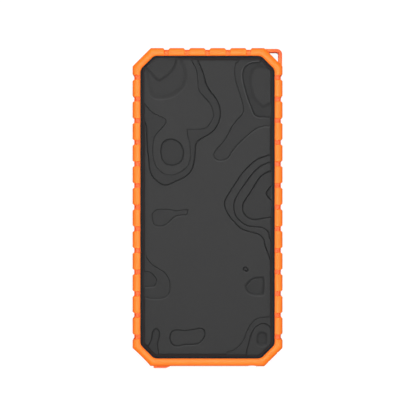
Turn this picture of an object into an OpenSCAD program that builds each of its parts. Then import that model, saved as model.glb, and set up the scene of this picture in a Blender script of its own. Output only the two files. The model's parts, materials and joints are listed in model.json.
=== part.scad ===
// Rugged power bank: a rubber bumper round a sealed two-part case that holds two pouch cells,
// a charging board with three USB sockets behind a hinged flap, and a charge button with lamps.
// The bank lies on its rear face. X runs across it, Y along it towards the lanyard loop,
// and Z up through the front face. The origin is the middle of the rear face's plane.

/* [Body] */
// Width across the long sides
body_w = 82; // [81:0.5:86]
// Length from end to end
body_l = 174; // [173:0.5:180]
// Thickness from the rear lip to the front lip
body_h = 27; // [27:0.5:32]
// Leg of the 45 degree cut at each corner
corner_leg = 10; // [9:0.5:11]

/* [Bumper] */
// Thickness of the bumper's wall
bumper_wall = 3; // [2.5:0.1:3.5]
// Width of the lip round the front and rear windows
lip_w = 4.6; // [4.2:0.1:5]
// Thickness of the lip that holds the case
lip_t = 2; // [1.6:0.1:2.4]
// Distance between notches on the long sides
side_pitch = 11.8; // [11:0.1:12.4]
// Number of notches on each long side
side_count = 13; // [3:2:13]
// Distance between notches on the top end
end_pitch = 11.2; // [10:0.1:12]
// Number of notches on the top end
end_count = 5; // [1:2:5]
// Depth of each notch
notch_depth = 0.95; // [0.5:0.05:1.2]

/* [Case] */
// Thickness of the case's walls
case_wall = 2; // [1.6:0.1:2.4]
// Height of one step of the contour relief
relief_step = 0.25; // [0.1:0.05:0.3]
// Width of the bevel round the raised faces
bevel = 1.3; // [1:0.1:1.5]

/* [Ports] */
// Thickness of the port flap
flap_t = 1.8; // [1.4:0.1:2]
// Position of the flap's hinge across the body
hinge_x = 24.2; // [23.5:0.1:25]
// How far the pull tab stands out past the end
tab_reach = 1.3; // [0.8:0.1:3]

/* [Button] */
// Position of the button along the body
button_y = 60; // [59:0.5:60.5]
// Length of the button
button_len = 11; // [9:0.5:11]
// Travel of the button
button_travel = 0.4; // [0.3:0.05:0.5]

/* [Cells] */
// Width of each pouch cell
cell_w = 61; // [56:0.5:61]
// Length of each pouch cell
cell_l = 118; // [100:1:118]
// Thickness of each pouch cell
cell_t = 8.8; // [8:0.1:8.8]

/* [Hidden] */
$fn = 48;
eps = 0.01;

orange = [0.98, 0.46, 0.11];
deep_orange = [0.93, 0.38, 0.12];
charcoal = [0.22, 0.22, 0.22];
silver = [0.75, 0.75, 0.77];
board_green = [0.07, 0.30, 0.18];

// Heights through the thickness
case_low = lip_t;                        // rear face of the rear cover's rim
split_z = case_low + case_wall;          // where the rear cover meets the front shell
case_top = body_h - lip_t;               // front face of the front shell's rim
inner_top = case_top - case_wall;        // inside of the front wall
plateau_top = body_h - 0.7;              // raised front face, just below the lip
plateau_low = 0.7;                       // raised rear face, just inside the lip
plateau_gap = 0.7;                       // gap between the lip and the raised face
mid_z = body_h / 2;
inner_inset = bumper_wall + case_wall;   // from the body's outline to the inside of the case

case_end_y = -body_l / 2 + bumper_wall;  // outside of the case at the port end
flap_face_y = -body_l / 2 + 0.16;        // outside of the flap and of the bumper round it
tab_face_y = -body_l / 2 - tab_reach;    // outside of the pull tab

// Edge of the bumper, as [inset from the outline, height], from the rear to the front
bumper_edge = [[2, 0], [0.9, 0.6], [0.25, 1.8], [0, 3.5],
    [0, body_h - 3.5], [0.25, body_h - 1.8], [0.9, body_h - 0.6], [2, body_h]];

// Notches
notch_floor = 2.15;
notch_mouth = 3.9;
channel_w = 2.4;
channel_depth = 1;
channel_land = 0.5;                      // what each channel leaves of the lip's inner edge

// Port end
window_x = [-30, 30.5];                  // opening in the bumper, across
window_z = [6, 21];                      // opening in the bumper, up
flap_gap = 0.3;
flap_x = [-29.6, hinge_x - 0.7];
anchor_x = hinge_x + 0.7;
web_t = 0.6;
groove_half = 2.4;                       // half the width of the hinge groove
groove_depth = 0.32;
groove_r = (pow(groove_half, 2) + pow(groove_depth, 2)) / (2 * groove_depth);
stud_x = 27.7;

// Sockets: [x, z] of each middle
board_top = 10.65;
board_t = 1.6;
usb_a_w = 13.1;
usb_a_h = 5.7;
usb_a_l = 14;
usb_c_w = 8.94;
usb_c_h = 3.26;
usb_c_l = 8;
usb_skin = 0.3;
usb_a_left = [-5, board_top + usb_a_h / 2];
usb_a_right = [11, board_top + usb_a_h / 2];
usb_c_at = [-20, board_top + usb_c_h / 2];
mouth_y = case_end_y + 0.2;

// Button side
button_h = 6;
button_face = body_w / 2 - 1.4;
button_window = [28, 11];                // opening in the bumper: along Y and along Z
button_window_y = button_y - 6.5;
lamp_y = button_y - 13.5;
lamp_len = 11.4;
lamp_h = 2.6;
lamp_pitch = 3;
button_wall_x = body_w / 2 - inner_inset; // inside of the case's side wall
button_board_x = button_wall_x - 4.8;
button_board_t = 1;
button_board_y = [38, 68];
button_board_z = [7.5, 19.5];

// Fasteners
screw_places = [[30, 74], [-30, 74], [30, -51.5], [-30, -51.5], [30.5, -75], [-30.5, -75]];
boss_r = 2.8;
insert_r = 1.6;
insert_l = 4;
screw_r = 1;
head_r = 1.9;
head_h = 1.3;
board_screw_places = [[-23.5, -58.5], [23.5, -60.2], [23.8, -78]];
post_r = 2.2;

// Cells
cell_y0 = -48;                           // end of the cells that carries the tabs
foam_t = 0.6;
cell_gap = 0.2;
lower_cell_z = split_z + foam_t;
upper_cell_z = lower_cell_z + cell_t + cell_gap;

// ---------------------------------------------------------------- contour relief
// Each contour is a closed smooth line, and the face steps down inside it. Lines that leave the
// face close outside it. Points are for an 82 x 174 body.
relief_sx = body_w / 82;
relief_sy = body_l / 174;

northwest_1 = [[-17.2, 80.5], [-17.6, 78], [-18.6, 75.7], [-20.5, 73.3], [-23.5, 70.9],
    [-26.3, 69.3], [-28.6, 70.8], [-30.6, 73.2], [-33, 76], [-38, 84], [-20, 92]];
northwest_2 = [[-14.6, 80.5], [-12.9, 77], [-12, 73], [-12.1, 69.5], [-13.6, 66.4], [-16.4, 63.7],
    [-19.6, 61.5], [-24, 60.5], [-28, 60.6], [-30.3, 62.4], [-31.6, 66.5], [-32.6, 71.5],
    [-33.8, 75.5], [-40, 86], [-18, 93]];
northwest_3 = [[-8.8, 80.5], [-7, 77.2], [-5.7, 73.6], [-5.3, 69], [-4.8, 64.2], [-2.4, 60.8],
    [0.8, 57.4], [2.7, 53.8], [3.2, 50], [1.8, 46.3], [-0.8, 43.4], [-4, 42.6], [-8, 42.5],
    [-10.6, 42.4], [-11, 41.8], [-10.8, 39.2], [-9.8, 35.5], [-9.3, 30.5], [-9.6, 25.8],
    [-11.4, 21.9], [-14.8, 19.2], [-18.5, 17.8], [-22.5, 17.9], [-26, 19.8], [-28.7, 23.4],
    [-29.8, 28], [-29.9, 33], [-28.9, 38.4], [-26.2, 41.9], [-23.1, 45.5], [-23, 48],
    [-26.5, 49.9], [-30.4, 52], [-34.5, 56.7], [-42, 68], [-42, 90], [-12, 92]];
northwest_4 = [[-5.3, 80.8], [-3.5, 76.5], [-1.9, 72], [-0.6, 67.4], [1.6, 63.4], [4.6, 59.6],
    [6.5, 55.6], [7.2, 51.2], [6.3, 46.7], [4, 42.4], [0.3, 39.4], [-3.4, 37.2], [-6, 34.7],
    [-6.6, 30.5], [-7, 25.8], [-8.4, 20.7], [-11.4, 17], [-16, 14.6], [-20.6, 12.5],
    [-23.4, 11.9], [-26.6, 13.3], [-30, 16.5], [-31.7, 21], [-32.3, 27], [-33.1, 33.5],
    [-33.4, 41.5], [-34.6, 47], [-44, 62], [-44, 92], [-9, 95]];
west_ring = [[-20, 37.3], [-17.2, 36.6], [-14.4, 34.4], [-13.1, 31], [-13.3, 27.2], [-15, 24.3],
    [-19.3, 22.8], [-23.2, 23.9], [-25, 26.8], [-25.6, 31], [-24.8, 34.6], [-22.6, 36.7]];
northeast_1 = [[17.4, 80.6], [15.3, 78.3], [14.8, 75], [15.2, 70], [16.6, 64.8], [18.4, 59.2],
    [19.6, 54.4], [18.8, 50.7], [15.7, 47.3], [13.2, 43.9], [11.4, 40.3], [8.6, 35.8],
    [4.9, 31.7], [3.4, 28.6], [4.6, 26.2], [8, 25.6], [11, 27], [13.8, 31], [17.6, 35.3],
    [22.5, 39.9], [27, 43.1], [31.2, 44.4], [35, 44.7], [44, 50], [44, 90], [22, 92]];
northeast_2 = [[35, 49.6], [31, 49.3], [27.6, 49.4], [25.7, 50.6], [24.5, 53.2], [23.2, 56.5],
    [21.8, 60.3], [20.5, 64.8], [19.5, 69.4], [19.3, 73], [20.2, 76], [22.4, 77.9], [25, 78.8],
    [28.5, 79.2], [32, 80.5], [42, 82], [43, 56]];
northeast_island = [[27, 76.4], [24.5, 74.5], [23.5, 71], [23.8, 66], [24.8, 61.8], [26.6, 58.7],
    [29, 56.2], [30.6, 55.2], [32.4, 55.8], [35, 57.6], [41, 63], [41, 72], [34.5, 75.5],
    [30.5, 76.6]];
east_1 = [[35, 28.2], [31, 27.7], [26.8, 26], [22.8, 22.8], [18.6, 18.2], [14.6, 12.3],
    [11.2, 6.9], [9.3, 3.3], [9.4, 0], [11.4, -4.3], [15, -8.7], [18.6, -12], [23, -13.5],
    [27.6, -14.8], [30.4, -17.4], [31.4, -21.5], [33, -25.3], [35.5, -30], [44, -25], [44, 22]];
east_2 = [[35, 24.1], [31.8, 23.8], [27.9, 21.8], [24, 17.8], [20.4, 13], [16.9, 7.8],
    [14.7, 3.6], [14.3, -0.8], [15.5, -5], [18.3, -8.2], [22, -10.3], [26.6, -10.7],
    [30.6, -11.6], [33.2, -14], [34.4, -18], [41, -21], [43, 16]];
east_3 = [[35, 19.4], [31.6, 18.7], [28.6, 16.5], [26, 12.7], [23, 7.7], [20.2, 3.7],
    [19, 0.4], [19.5, -3], [22, -5.8], [26, -6.9], [30.5, -6.1], [35, -5.3], [42, -2], [42, 15]];
east_4 = [[35.2, 11.8], [33.3, 10], [32, 7.7], [32.6, 6], [35.2, 3.6], [40, 4], [40, 11]];
whistle = [[-30.3, -4.6], [-29.2, -2.4], [-27, -1.3], [-22, -1.1], [-17, -2], [-13.4, -1.4],
    [-10.9, -1.2], [-10.7, -1.7], [-11.4, -3.9], [-12.2, -4.2], [-15.5, -4.5], [-18.6, -5.7],
    [-21.8, -8.7], [-24.4, -10.1], [-27.4, -10.2], [-29.5, -8.9]];
dot = [[19.5, -33.2], [20.3, -32.6], [21.3, -32.8], [22, -33.8], [22, -35], [20.7, -35],
    [19.7, -34.4]];
south_d = [[20.9, -43.2], [22, -41.2], [24.4, -39.1], [27, -38.4], [29.8, -38.4], [30.6, -39.2],
    [30.8, -43], [30.6, -46.6], [29.8, -47.5], [26.5, -47.6], [23.4, -46.9], [21.4, -45.2]];
southwest_1 = [[-35.5, -24.5], [-33, -27.8], [-30.5, -31.1], [-26.8, -33.5], [-23.2, -35.9],
    [-21.1, -39.3], [-20.5, -43], [-20.9, -46.5], [-23, -49], [-27.5, -49.9], [-31.6, -49.6],
    [-35.5, -48.4], [-44, -44], [-44, -28]];
southwest_2 = [[-35.5, -35], [-31.6, -35.4], [-29.6, -36.9], [-28, -38.9], [-28, -41],
    [-29.2, -43], [-32, -43.3], [-35.5, -43.3], [-42, -41], [-42, -36]];
finger = [[-33, -77.4], [-31.6, -74.3], [-30.6, -71.2], [-30, -67.8], [-28.1, -66.1],
    [-26.3, -67.8], [-26.2, -70.6], [-27.1, -74.6], [-27.1, -81.5], [-33, -86]];
pill = [[-20.6, -70.5], [-19.6, -67.9], [-17.2, -66.9], [-12.5, -67.2], [-8, -66.7],
    [-3.8, -66], [-1.8, -67.2], [-1.4, -69.7], [-2.6, -72.3], [-5.2, -74.5], [-9, -75],
    [-12.6, -75.1], [-16.6, -75.9], [-19.3, -74.8], [-20.5, -72.6]];
southeast_1 = [[35, -60.3], [30.6, -60], [26.6, -61.1], [23.5, -63.9], [21.7, -67.2],
    [20.1, -71.4], [18, -74.8], [14.5, -77.9], [10, -80.5], [12, -92], [44, -92], [44, -66]];
southeast_2 = [[35.5, -67], [33.5, -64.5], [30.5, -63.4], [27.4, -64.4], [25, -66.8],
    [23.6, -69.8], [22.5, -73.8], [20.9, -80.8], [22, -90], [42, -90], [42, -74]];
southeast_3 = [[27.4, -70], [28.4, -68.7], [30, -68.4], [31.4, -68.7], [32.1, -70], [32.1, -73.4],
    [31.4, -75], [29.6, -75.3], [28, -74.8], [27.2, -73.2]];

// [contour, number of steps down inside it]
relief = [[northwest_4, 1], [northwest_3, 2], [northwest_2, 3], [northwest_1, 4],
    [west_ring, 3], [northeast_1, 1], [east_1, 1], [east_2, 2], [east_3, 3], [east_4, 4],
    [whistle, 1], [dot, 1], [south_d, 1], [southwest_1, 1], [southwest_2, 2], [finger, 1],
    [pill, 1], [southeast_1, 1], [southeast_2, 2], [southeast_3, 3]];

// Closed smooth curve through the points p, with n steps from each point to the next
function smooth(p, n = 3) = [for (i = [0:len(p) - 1])
    let (a = p[(i + len(p) - 1) % len(p)], b = p[i], c = p[(i + 1) % len(p)],
        d = p[(i + 2) % len(p)])
    for (s = [0:n - 1])
        let (t = s / n)
        (2 * b + (c - a) * t + (2 * a - 5 * b + 4 * c - d) * t * t
            + (3 * b - a - 3 * c + d) * t * t * t) / 2];
function on_body(p) = [for (q = p) [q[0] * relief_sx, q[1] * relief_sy]];
module contour(p) polygon(smooth(on_body(p)));

// ---------------------------------------------------------------- shared shapes
// The body's outline, moved in by inset
module outline(inset) {
    w = body_w / 2 - inset;
    l = body_l / 2 - inset;
    c = corner_leg - inset * (2 - sqrt(2));
    polygon([[w, l - c], [w - c, l], [c - w, l], [-w, l - c],
        [-w, c - l], [c - w, -l], [w - c, -l], [w, c - l]]);
}

// The same outline with rounded corners
module round_outline(inset, r) offset(r = r, $fn = 32) offset(delta = -r) outline(inset);

// Band between two insets, from z0 to z1
module ring(outer, inner, z0, z1) translate([0, 0, z0]) linear_extrude(z1 - z0)
    difference() {
        outline(outer);
        outline(inner);
    }

// Solid on the body's outline whose edge all round follows profile, a list of [inset, z]
module edged(profile) {
    n = len(profile);
    cut_half = (body_w / 2 + body_l / 2 - corner_leg) / sqrt(2);
    intersection_for (side = [[0, body_w / 2], [90, body_l / 2], [45, cut_half], [-45, cut_half]])
        rotate([90, 0, side[0]])
            linear_extrude(body_l + body_w, center = true)
                polygon([for (i = [0:n - 1]) [side[1] - profile[i][0], profile[i][1]],
                    for (i = [n - 1:-1:0]) [profile[i][0] - side[1], profile[i][1]]]);
}

// Rectangle with round corners, centred
module round_rect(w, h, r) offset(r = r, $fn = 32) square([w - 2 * r, h - 2 * r], center = true);

// Upright block with round corners: size [x, y], from z0 to z1
module round_block(size, r, z0, z1) translate([0, 0, z0])
    linear_extrude(z1 - z0) round_rect(size[0], size[1], r);

// Block whose round-cornered section lies across the Y axis
module along_y(at, size, r, y0, y1) translate([at[0], y1, at[1]]) rotate([90, 0, 0])
    linear_extrude(y1 - y0) round_rect(size[0], size[1], r);

// Block whose round-cornered section, size [y, z], lies across the X axis
module along_x(at, size, r, x0, x1) translate([x0, at[0], at[1]]) rotate([90, 0, 90])
    linear_extrude(x1 - x0) round_rect(size[0], size[1], r);

// Box between two corners
module box(low, high) translate(low) cube(high - low);

module at_screws() for (p = screw_places) translate([p[0], p[1], 0]) children();
module at_board_screws() for (p = board_screw_places) translate([p[0], p[1], 0]) children();

// Round wire through the points, with a small bead at each bend
module wire(points, d) {
    for (i = [0:len(points) - 2]) {
        run = points[i + 1] - points[i];
        translate(points[i])
            rotate([0, acos(run[2] / norm(run)), atan2(run[1], run[0])])
                cylinder(d = d, h = norm(run), $fn = 24);
    }
    for (i = [1:len(points) - 2]) translate(points[i]) sphere(d = 1.08 * d, $fn = 24);
}

// ---------------------------------------------------------------- bumper
// Calls its child at each notch, with +Y pointing out of the body
module at_notches() {
    for (side = [-1, 1], i = [0:side_count - 1])
        translate([side * body_w / 2, (i - (side_count - 1) / 2) * side_pitch])
            rotate(-90 * side) children();
    for (i = [0:end_count - 1])
        translate([(i - (end_count - 1) / 2) * end_pitch, body_l / 2]) children();
}

module notch_shapes() at_notches()
    polygon([[-notch_floor / 2, -notch_depth], [notch_floor / 2, -notch_depth],
        [notch_mouth / 2, 0], [notch_mouth / 2, 1], [-notch_mouth / 2, 1], [-notch_mouth / 2, 0]]);

module channel_shapes() at_notches()
    translate([-channel_w / 2, channel_land - lip_w]) square([channel_w, lip_w + 1]);

// Shallow arc across the port end that lets the flap bend
module hinge_groove() translate([hinge_x, flap_face_y - groove_r + groove_depth, -1])
    cylinder(r = groove_r, h = body_h + 2, $fn = 96);

// Loop for a lanyard, which fills out the cut corner
module lanyard_loop() translate([0, 0, mid_z - 4]) linear_extrude(8) difference() {
    w = body_w / 2;
    l = body_l / 2;
    offset(r = 0.4, $fn = 32) offset(delta = -0.4)
        polygon([[w - 10.5, l], [w - 2.4, l], [w, l - 2.4], [w, l - 10.5], [w - 1.2, l - 10.5],
            [w - 10.5, l - 1.2]]);
    polygon([[w - 7.7, l - 2.2], [w - 3.4, l - 2.2], [w - 2.3, l - 3.3], [w - 2.3, l - 7.6]]);
}

// Thumb hollow in the cut corner beside the pull tab
module thumb_hollow() {
    hollow_r = 100;
    translate([corner_leg / 2 - body_w / 2, corner_leg / 2 - body_l / 2, -1])
        rotate(45) translate([0.25 - hollow_r, 0, 0])
            cylinder(r = hollow_r, h = body_h + 2, $fn = 360);
}

// Two small grooves in the cut corner beside the flap's anchor
module corner_grooves() translate([body_w / 2 - corner_leg / 2, corner_leg / 2 - body_l / 2, -1])
    rotate(-45) for (y = [-3.4, 3.4]) translate([0, y, 0])
        linear_extrude(body_h + 2) polygon([[-0.35, 0], [1, 1.6], [1, -1.6]]);

module bumper() color(orange) difference() {
    union() {
        edged(bumper_edge);
        lanyard_loop();
    }
    translate([0, 0, lip_t]) linear_extrude(body_h - 2 * lip_t) outline(bumper_wall);
    translate([0, 0, -1]) linear_extrude(body_h + 2) round_outline(lip_w, 3);
    translate([0, 0, -1]) linear_extrude(body_h + 2) notch_shapes();
    translate([0, 0, body_h - channel_depth]) linear_extrude(2) channel_shapes();
    translate([0, 0, channel_depth - 2]) linear_extrude(2) channel_shapes();
    box([window_x[0], -body_l / 2 - 1, window_z[0]], [window_x[1], case_end_y + 1, window_z[1]]);
    box([corner_leg - body_w / 2, -body_l / 2 - 1, -1],
        [hinge_x + groove_half, flap_face_y, body_h + 1]);
    hinge_groove();
    thumb_hollow();
    corner_grooves();
    along_x([button_window_y, mid_z], button_window, 3, body_w / 2 - bumper_wall - 1,
        body_w / 2 + 1);
}

// ---------------------------------------------------------------- case
module relief_pits() for (r = relief)
    translate([0, 0, plateau_top - r[1] * relief_step]) linear_extrude(r[1] * relief_step + 1)
        contour(r[0]);

// The lower step round an island that stands back up to the step above
module island_pit() translate([0, 0, plateau_top - 2 * relief_step])
    linear_extrude(2 * relief_step + 1) difference() {
        contour(northeast_2);
        contour(northeast_island);
    }

// Openings through the case for the sockets
module port_openings() {
    for (p = [usb_a_left, usb_a_right])
        along_y(p, [usb_a_w + 0.4, usb_a_h + 0.4], 0.6, case_end_y - 1, case_end_y + case_wall + 1);
    along_y(usb_c_at, [usb_c_w + 0.4, usb_c_h + 0.4], 1.8, case_end_y - 1,
        case_end_y + case_wall + 1);
}

module front_shell() color(charcoal) difference() {
    union() {
        difference() {
            union() {
                translate([0, 0, split_z]) linear_extrude(case_top - split_z)
                    outline(bumper_wall);
                edged([[lip_w + plateau_gap, case_top - 1], [lip_w + plateau_gap, case_top],
                    [lip_w + plateau_gap + bevel, plateau_top]]);
            }
            translate([0, 0, split_z - 1]) linear_extrude(inner_top - split_z + 1)
                outline(inner_inset);
            relief_pits();
            island_pit();
        }
        at_screws() translate([0, 0, split_z]) cylinder(r = boss_r, h = inner_top + 0.5 - split_z);
        at_board_screws() translate([0, 0, board_top])
            cylinder(r = post_r, h = inner_top + 0.5 - board_top);
        for (y = button_board_y)
            box([button_board_x - 0.6, y - 1.2, 15.5], [button_wall_x + 0.5, y + 1.2, inner_top + 0.5]);
    }
    box([button_board_x - 0.05, button_board_y[0] - 0.1, 15],
        [button_board_x + button_board_t + 0.05, button_board_y[1] + 0.1, button_board_z[1] + 0.1]);
    at_screws() translate([0, 0, split_z - 1]) cylinder(r = insert_r, h = insert_l + 2);
    at_board_screws() translate([0, 0, board_top - 1]) cylinder(r = 0.8, h = 6);
    ring(bumper_wall + 0.5, bumper_wall + 1.5, split_z - eps, split_z + 0.8);
    port_openings();
    translate([stud_x, case_end_y - 1, mid_z]) rotate([-90, 0, 0]) cylinder(r = 1.55, h = 4);
    along_x([button_y, mid_z], [button_len + 0.4, button_h + 0.4], 3, button_wall_x - 1,
        button_wall_x + 3);
    along_x([lamp_y, mid_z], [lamp_len + 0.2, lamp_h + 0.2], 0.8, button_wall_x - 1,
        button_wall_x + 3);
}

module rear_cover() color(charcoal) difference() {
    union() {
        translate([0, 0, case_low]) linear_extrude(case_wall) outline(bumper_wall);
        edged([[lip_w + plateau_gap + bevel, plateau_low], [lip_w + plateau_gap, case_low],
            [lip_w + plateau_gap, case_low + 1]]);
    }
    at_screws() translate([0, 0, plateau_low - 1]) cylinder(r = head_r + 0.3, h = head_h + 1.2);
    at_screws() cylinder(r = screw_r + 0.15, h = split_z + 1);
    round_block([52, 34], 3, plateau_low - 1, plateau_low + 0.3);
}

module cover_gasket() color([0.15, 0.15, 0.15])
    ring(bumper_wall + 0.5, bumper_wall + 1.5, split_z, split_z + 0.8);

module cover_screws() color(silver) at_screws() difference() {
    union() {
        translate([0, 0, plateau_low + 0.2]) cylinder(r = head_r, h = head_h);
        translate([0, 0, plateau_low + head_h]) cylinder(r = screw_r, h = 6);
    }
    translate([0, 0, plateau_low]) cylinder(r = 0.75, h = 1, $fn = 6);
}

module boss_inserts() color([0.80, 0.62, 0.25]) at_screws() translate([0, 0, split_z + 0.1])
    difference() {
        cylinder(r = insert_r, h = insert_l);
        translate([0, 0, -1]) cylinder(r = screw_r, h = insert_l + 2);
    }

// ---------------------------------------------------------------- port flap
module port_flap() color(deep_orange) difference() {
    low_z = window_z[0] + flap_gap;
    high_z = window_z[1] - flap_gap;
    inner_y = flap_face_y + flap_t;
    union() {
        box([flap_x[0], flap_face_y, low_z], [flap_x[1], inner_y, high_z]);
        translate([0, 0, low_z + 1.5]) linear_extrude(high_z - low_z - 3)
            offset(r = 0.4, $fn = 32) offset(delta = -0.4)
                polygon([[flap_x[0], inner_y], [flap_x[0], tab_face_y],
                    [flap_x[0] + 6.7, tab_face_y], [flap_x[0] + 10, flap_face_y],
                    [flap_x[0] + 12, inner_y]]);
        for (p = [usb_a_left, usb_a_right]) along_y([p[0], mid_z], [11.4, 4], 0.8, inner_y - 0.5,
            inner_y + 0.6);
        along_y([usb_c_at[0], mid_z], [7.6, 3], 1.4, inner_y - 0.5, inner_y + 0.6);
    }
    hinge_groove();
}

module flap_seal() color([0.30, 0.30, 0.31]) {
    middle_x = (flap_x[0] + flap_x[1]) / 2;
    seal_w = flap_x[1] - flap_x[0] - 1.6;
    seal_h = window_z[1] - window_z[0] - 2 * flap_gap - 1.6;
    difference() {
        along_y([middle_x, mid_z], [seal_w, seal_h], 2, flap_face_y + flap_t, case_end_y - 0.05);
        along_y([middle_x, mid_z], [seal_w - 2.4, seal_h - 2.4], 1, flap_face_y, case_end_y + 1);
    }
}

module flap_hinge_web() color(deep_orange)
    box([flap_x[1], flap_face_y + groove_depth + 0.02, window_z[0] + flap_gap],
        [anchor_x, flap_face_y + groove_depth + 0.02 + web_t, window_z[1] - flap_gap]);

module flap_anchor() color(deep_orange) difference() {
    union() {
        box([anchor_x, flap_face_y, window_z[0]], [window_x[1], case_end_y, window_z[1]]);
        translate([stud_x, case_end_y - 0.5, mid_z]) rotate([-90, 0, 0]) {
            cylinder(r = 1.5, h = case_wall + 0.6);
            translate([0, 0, case_wall + 0.6]) cylinder(r1 = 2, r2 = 1.2, h = 1.4);
        }
    }
    hinge_groove();
}

// ---------------------------------------------------------------- button and lamps
module power_button() color(deep_orange) {
    flange_x = button_wall_x - 1.1;
    along_x([button_y, mid_z], [button_len, button_h], 2.8, flange_x, button_face);
    along_x([button_y, mid_z], [button_len + 2.5, button_h + 2.5], 3.6, flange_x, flange_x + 0.7);
}

// Pin under the button, which starts just over its travel from the bottom of the switch
module switch_plunger() color([0.12, 0.12, 0.12]) {
    end_x = button_board_x + button_board_t + 0.7 + button_travel;
    translate([end_x, button_y, mid_z]) rotate([0, 90, 0])
        cylinder(r = 1.1, h = button_wall_x - 1.1 - end_x);
}

module button_gasket() color([0.30, 0.30, 0.31]) difference() {
    along_x([button_y, mid_z], [button_len + 2.2, button_h + 2.2], 3.6, button_wall_x - 0.3,
        button_wall_x);
    along_x([button_y, mid_z], [button_len + 0.5, button_h + 0.5], 3, button_wall_x - 1,
        button_wall_x + 1);
}

module switch_body() color(silver) difference() {
    face = button_board_x + button_board_t;
    along_x([button_y, mid_z], [5.2, 5.2], 0.5, face, face + 1.6);
    translate([face + 0.4, button_y, mid_z]) rotate([0, 90, 0]) cylinder(r = 1.3, h = 3);
}

module button_board() color(board_green)
    box([button_board_x, button_board_y[0], button_board_z[0]],
        [button_board_x + button_board_t, button_board_y[1], button_board_z[1]]);

// Calls its child at each lamp
module at_lamps() for (i = [-1.5:1.5]) translate([0, lamp_y + i * lamp_pitch, mid_z]) children();

module charge_leds() color([0.9, 0.95, 1]) at_lamps()
    translate([button_board_x + button_board_t, -0.8, -0.6]) cube([0.6, 1.6, 1.2]);

module light_guide() color([0.85, 0.88, 0.9]) {
    along_x([lamp_y, mid_z], [lamp_len, lamp_h], 0.8, button_wall_x - 0.5, button_face - 0.5);
    along_x([lamp_y, mid_z], [lamp_len + 1.6, lamp_h + 2], 1, button_wall_x - 1.2, button_wall_x);
    at_lamps() translate([button_wall_x - 3, 0, 0]) rotate([0, 90, 0]) cylinder(r = 0.9, h = 2);
}

// ---------------------------------------------------------------- main board
module main_board() color(board_green) difference() {
    box([-27.2, case_end_y + case_wall + 0.2, board_top - board_t], [27.2, -55, board_top]);
    at_board_screws() translate([0, 0, board_top - board_t - 1]) cylinder(r = 1, h = board_t + 2);
}

module board_screws() color(silver) at_board_screws() difference() {
    union() {
        translate([0, 0, board_top - board_t - head_h]) cylinder(r = 1.7, h = head_h);
        translate([0, 0, board_top - board_t - 0.5]) cylinder(r = 0.8, h = 5);
    }
    translate([0, 0, board_top - board_t - head_h - 0.5]) cylinder(r = 0.7, h = 1.1, $fn = 6);
}

// Folded metal shell of a socket, open at its mouth
module socket_shell(at, size, r, length) color(silver) difference() {
    along_y(at, size, r, mouth_y, mouth_y + length);
    along_y(at, size - [2 * usb_skin, 2 * usb_skin], r - usb_skin, mouth_y - 1,
        mouth_y + length - 0.8);
}

module usb_a_shell(at) socket_shell(at, [usb_a_w, usb_a_h], 0.7, usb_a_l);
module usb_a_tongue(at) color([0.85, 0.86, 0.88])
    box([at[0] - 5.55, mouth_y + 2.2, at[1] + 0.2], [at[0] + 5.55, mouth_y + usb_a_l - 0.8, at[1] + 2.04]);
module usb_a_shell_left() usb_a_shell(usb_a_left);
module usb_a_shell_right() usb_a_shell(usb_a_right);
module usb_a_tongue_left() usb_a_tongue(usb_a_left);
module usb_a_tongue_right() usb_a_tongue(usb_a_right);
module usb_c_shell() socket_shell(usb_c_at, [usb_c_w, usb_c_h], 1.62, usb_c_l);
module usb_c_tongue() color([0.12, 0.12, 0.13])
    along_y(usb_c_at, [6.69, 0.7], 0.3, mouth_y + 1, mouth_y + usb_c_l - 0.8);

module usb_contacts() color([0.85, 0.68, 0.3]) {
    for (p = [usb_a_left, usb_a_right], i = [-1.5:1.5])
        translate([p[0] + i * 2.3 - 0.5, mouth_y + 3, p[1] + 0.1]) cube([1, 8, 0.1]);
    for (side = [-1, 1], i = [-2.5:2.5])
        translate([usb_c_at[0] + i - 0.15, mouth_y + 1.6, usb_c_at[1] + side * 0.4 - 0.05])
            cube([0.3, 4, 0.1]);
}

module inductors() color([0.25, 0.25, 0.27]) for (x = [-15, -4, 7])
    translate([x, -61.5, board_top]) {
        round_block([7.2, 7.2], 1, 0, 0.8);
        round_block([6.6, 6.6], 2, 0.5, 4);
    }

module power_ics() color([0.10, 0.10, 0.11]) {
    for (x = [-9.5, 1.5]) translate([x, -66.6, board_top]) round_block([2.9, 2.9], 0.2, 0, 0.9);
    translate([15.5, -60.8, board_top]) round_block([5, 5], 0.3, 0, 0.9);
    translate([-21, -67.5, board_top]) round_block([5, 4], 0.3, 0, 1.4);
}

module capacitors() {
    color([0.55, 0.42, 0.30]) for (i = [0:4])
        translate([-17 + i * 9, -57, board_top]) round_block([3.2, 1.6], 0.2, 0, 1.3);
    color(silver) for (y = [-72.4, -66.1]) translate([22.2, y, board_top]) cylinder(r = 3.1, h = 5.8);
}

module ribbon_socket() color([0.92, 0.90, 0.84])
    box([21.5, -57.6, board_top], [26.5, -55.2, board_top + 3.6]);

// ---------------------------------------------------------------- cells
module cell(z) color([0.78, 0.80, 0.82])
    along_y([0, z + cell_t / 2], [cell_w, cell_t], 1.6, cell_y0, cell_y0 + cell_l);
module cell_lower() cell(lower_cell_z);
module cell_upper() cell(upper_cell_z);

// Sheet as large as a cell's flat side, from z0 to z1
module cell_sheet(margin, z0, z1) box([margin - cell_w / 2, cell_y0 + margin, z0],
    [cell_w / 2 - margin, cell_y0 + cell_l - margin, z1]);
module cell_tape() color([0.95, 0.93, 0.85])
    cell_sheet(4, lower_cell_z + cell_t, upper_cell_z);
module rear_foam() color([0.2, 0.2, 0.2]) cell_sheet(3, split_z, lower_cell_z);
module front_foam() color([0.2, 0.2, 0.2]) cell_sheet(3, upper_cell_z + cell_t, inner_top);

protection_z = lower_cell_z + cell_t - 0.3;
protection_t = 0.8;
module protection_board() color(board_green)
    box([-15, cell_y0 - 6.2, protection_z], [15, cell_y0 - 0.8, protection_z + protection_t]);

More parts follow.
